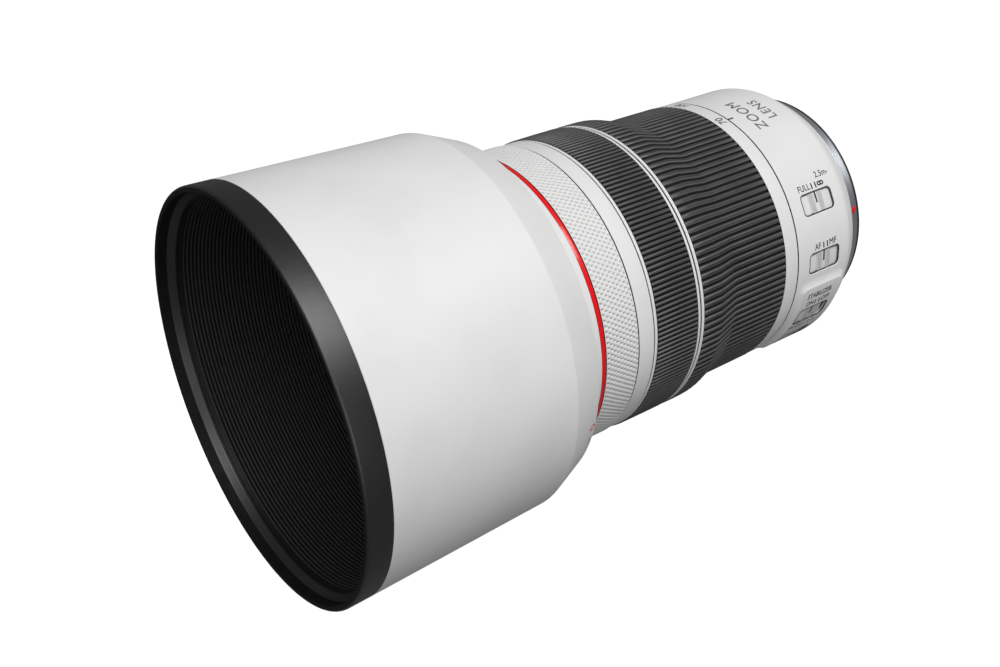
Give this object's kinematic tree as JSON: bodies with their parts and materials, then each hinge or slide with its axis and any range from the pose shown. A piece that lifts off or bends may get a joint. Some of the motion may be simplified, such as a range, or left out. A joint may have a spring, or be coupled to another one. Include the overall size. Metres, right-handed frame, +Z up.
{
  "type": "telephoto zoom lens with hood",
  "caption": "Telephoto zoom lens for a mirrorless camera with a large tapered hood, ribbed zoom and focus rings, side switches and a bayonet mount.",
  "frame": {"origin": "centre of the bayonet mount's flange face", "axes": "+Y along the optical axis from the front of the lens to the camera, +Z up through the zoom index, +X towards the switches"},
  "size_m": [0.107, 0.187, 0.107],
  "materials": {
    "white_shell": "satin",
    "white_plastic": "satin",
    "black_plastic": "satin",
    "black_lining": "matte",
    "grip_rubber": "matte",
    "seal_rubber": "matte",
    "red_enamel": "gloss",
    "mount_metal": "satin",
    "light_alloy": "satin",
    "black_alloy": "matte",
    "steel": "satin",
    "brass": "satin",
    "lens_glass": "polished",
    "circuit_board": "matte"
  },
  "bodies": {
    "barrel": {"outer_tube": "white_shell", "guide_tube": "black_alloy", "diaphragm_housing": "black_plastic", "stabilizer_base": "black_plastic", "focus_rods": "steel", "focus_motor": "light_alloy", "rear_cell": "black_alloy", "rear_elements": "lens_glass", "rear_frame": "black_alloy", "main_board": "circuit_board", "rear_barrel": "white_shell", "stabilizer_panel": "white_plastic", "mount_ring": "mount_metal", "mount_seal": "seal_rubber", "mount_screws": "steel", "contact_block": "black_plastic", "contact_pins": "brass", "rear_baffle": "black_plastic"},
    "front_barrel": {"front_ring": "white_shell", "red_ring": "red_enamel", "extending_tube": "white_shell", "name_ring": "black_plastic", "front_cell": "black_alloy", "front_elements": "lens_glass", "front_followers": "brass"},
    "hood": {"hood_shell": "white_plastic", "hood_front_ring": "black_plastic", "hood_lining": "black_lining", "hood_lock_spring": "steel"},
    "hood_button": {"hood_release_button": "white_plastic"},
    "control_ring": {"control_ring": "white_shell"},
    "focus_ring": {"focus_sleeve": "white_shell", "focus_grip": "grip_rubber"},
    "zoom_ring": {"zoom_sleeve": "white_shell", "zoom_grip": "grip_rubber", "zoom_key": "steel", "cam_barrel": "light_alloy"},
    "zoom_group": {"zoom_cell": "black_alloy", "zoom_element": "lens_glass", "zoom_followers": "brass"},
    "diaphragm_ring": {"diaphragm_ring": "light_alloy"},
    "stabilizer_frame": {"stabilizer_frame": "light_alloy"},
    "stabilizer_lens": {"stabilizer_cell": "black_plastic", "stabilizer_element": "lens_glass"},
    "focus_group": {"focus_cell": "black_plastic", "focus_element": "lens_glass"},
    "limiter_knob": {"limiter_knob": "white_plastic"},
    "focus_mode_knob": {"focus_mode_knob": "white_plastic"},
    "stabilizer_knob": {"stabilizer_knob": "white_plastic"},
    "stabilizer_mode_knob": {"stabilizer_mode_knob": "white_plastic"},
    "zoom_lock_knob": {"zoom_lock_knob": "white_plastic"},
    "blade_1": {"diaphragm_blade_1": "black_alloy"},
    "blade_2": {"diaphragm_blade_2": "black_alloy"},
    "blade_3": {"diaphragm_blade_3": "black_alloy"},
    "blade_4": {"diaphragm_blade_4": "black_alloy"},
    "blade_5": {"diaphragm_blade_5": "black_alloy"},
    "blade_6": {"diaphragm_blade_6": "black_alloy"},
    "blade_7": {"diaphragm_blade_7": "black_alloy"},
    "blade_8": {"diaphragm_blade_8": "black_alloy"},
    "blade_9": {"diaphragm_blade_9": "black_alloy"}
  },
  "joints": [
    {"name": "zoom_turn", "type": "hinge", "parent": "barrel", "child": "zoom_ring", "pos_m": [0, -0.055, 0], "axis": [0, 1, 0], "range_deg": [0, 75]},
    {"name": "front_extend", "type": "slide", "parent": "barrel", "child": "front_barrel", "axis": [0, -1, 0], "range_m": [0, 0.052]},
    {"name": "zoom_group_slide", "type": "slide", "parent": "barrel", "child": "zoom_group", "axis": [0, -1, 0], "range_m": [0, 0.02]},
    {"name": "focus_turn", "type": "hinge", "parent": "barrel", "child": "focus_ring", "pos_m": [0, -0.081, 0], "axis": [0, 1, 0], "continuous": true},
    {"name": "control_turn", "type": "hinge", "parent": "barrel", "child": "control_ring", "pos_m": [0, -0.1, 0], "axis": [0, 1, 0], "continuous": true},
    {"name": "hood_twist", "type": "hinge", "parent": "front_barrel", "child": "hood", "pos_m": [0, -0.116, 0], "axis": [0, 1, 0], "range_deg": [0, 60]},
    {"name": "hood_button_press", "type": "slide", "parent": "hood", "child": "hood_button", "axis": [0.9397, 0, 0.342], "range_m": [0, 0.0009], "stiffness_N_per_m": 800, "deforming": ["hood_lock_spring"]},
    {"name": "limiter_slide", "type": "slide", "parent": "barrel", "child": "limiter_knob", "axis": [0, 1, 0], "range_m": [0, 0.0017]},
    {"name": "focus_mode_slide", "type": "slide", "parent": "barrel", "child": "focus_mode_knob", "axis": [0, 1, 0], "range_m": [0, 0.0017]},
    {"name": "stabilizer_switch_slide", "type": "slide", "parent": "barrel", "child": "stabilizer_knob", "axis": [0, 1, 0], "range_m": [0, 0.0017]},
    {"name": "stabilizer_mode_slide", "type": "slide", "parent": "barrel", "child": "stabilizer_mode_knob", "axis": [0, 1, 0], "range_m": [0, 0.0034]},
    {"name": "zoom_lock_slide", "type": "slide", "parent": "barrel", "child": "zoom_lock_knob", "axis": [0, -1, 0], "range_m": [0, 0.002]},
    {"name": "focus_group_slide", "type": "slide", "parent": "barrel", "child": "focus_group", "axis": [0, 1, 0], "range_m": [-0.0035, 0.005]},
    {"name": "stabilizer_shift_x", "type": "slide", "parent": "barrel", "child": "stabilizer_frame", "axis": [1, 0, 0], "range_m": [-0.001, 0.001], "stiffness_N_per_m": 600},
    {"name": "stabilizer_shift_z", "type": "slide", "parent": "stabilizer_frame", "child": "stabilizer_lens", "axis": [0, 0, 1], "range_m": [-0.001, 0.001], "stiffness_N_per_m": 600},
    {"name": "diaphragm_turn", "type": "hinge", "parent": "barrel", "child": "diaphragm_ring", "pos_m": [0, -0.0528, 0], "axis": [0, 1, 0], "range_deg": [0, 30]},
    {"name": "blade_1_swing", "type": "hinge", "parent": "barrel", "child": "blade_1", "pos_m": [0.024, -0.053, 0], "axis": [0, 1, 0], "range_deg": [0, 18]},
    {"name": "blade_2_swing", "type": "hinge", "parent": "barrel", "child": "blade_2", "pos_m": [0.01839, -0.053, -0.01543], "axis": [0, 1, 0], "range_deg": [0, 18]},
    {"name": "blade_3_swing", "type": "hinge", "parent": "barrel", "child": "blade_3", "pos_m": [0.00417, -0.053, -0.02364], "axis": [0, 1, 0], "range_deg": [0, 18]},
    {"name": "blade_4_swing", "type": "hinge", "parent": "barrel", "child": "blade_4", "pos_m": [-0.012, -0.053, -0.02078], "axis": [0, 1, 0], "range_deg": [0, 18]},
    {"name": "blade_5_swing", "type": "hinge", "parent": "barrel", "child": "blade_5", "pos_m": [-0.02255, -0.053, -0.00821], "axis": [0, 1, 0], "range_deg": [0, 18]},
    {"name": "blade_6_swing", "type": "hinge", "parent": "barrel", "child": "blade_6", "pos_m": [-0.02255, -0.053, 0.00821], "axis": [0, 1, 0], "range_deg": [0, 18]},
    {"name": "blade_7_swing", "type": "hinge", "parent": "barrel", "child": "blade_7", "pos_m": [-0.012, -0.053, 0.02078], "axis": [0, 1, 0], "range_deg": [0, 18]},
    {"name": "blade_8_swing", "type": "hinge", "parent": "barrel", "child": "blade_8", "pos_m": [0.00417, -0.053, 0.02364], "axis": [0, 1, 0], "range_deg": [0, 18]},
    {"name": "blade_9_swing", "type": "hinge", "parent": "barrel", "child": "blade_9", "pos_m": [0.01839, -0.053, 0.01543], "axis": [0, 1, 0], "range_deg": [0, 18]}
  ],
  "couplings": [
    {"joint": "front_extend", "follows": "zoom_turn", "m_per_rad": 0.039725},
    {"joint": "zoom_group_slide", "follows": "zoom_turn", "m_per_rad": 0.015279},
    {"joint": "blade_1_swing", "follows": "diaphragm_turn", "ratio": 0.6},
    {"joint": "blade_2_swing", "follows": "diaphragm_turn", "ratio": 0.6},
    {"joint": "blade_3_swing", "follows": "diaphragm_turn", "ratio": 0.6},
    {"joint": "blade_4_swing", "follows": "diaphragm_turn", "ratio": 0.6},
    {"joint": "blade_5_swing", "follows": "diaphragm_turn", "ratio": 0.6},
    {"joint": "blade_6_swing", "follows": "diaphragm_turn", "ratio": 0.6},
    {"joint": "blade_7_swing", "follows": "diaphragm_turn", "ratio": 0.6},
    {"joint": "blade_8_swing", "follows": "diaphragm_turn", "ratio": 0.6},
    {"joint": "blade_9_swing", "follows": "diaphragm_turn", "ratio": 0.6}
  ]
}
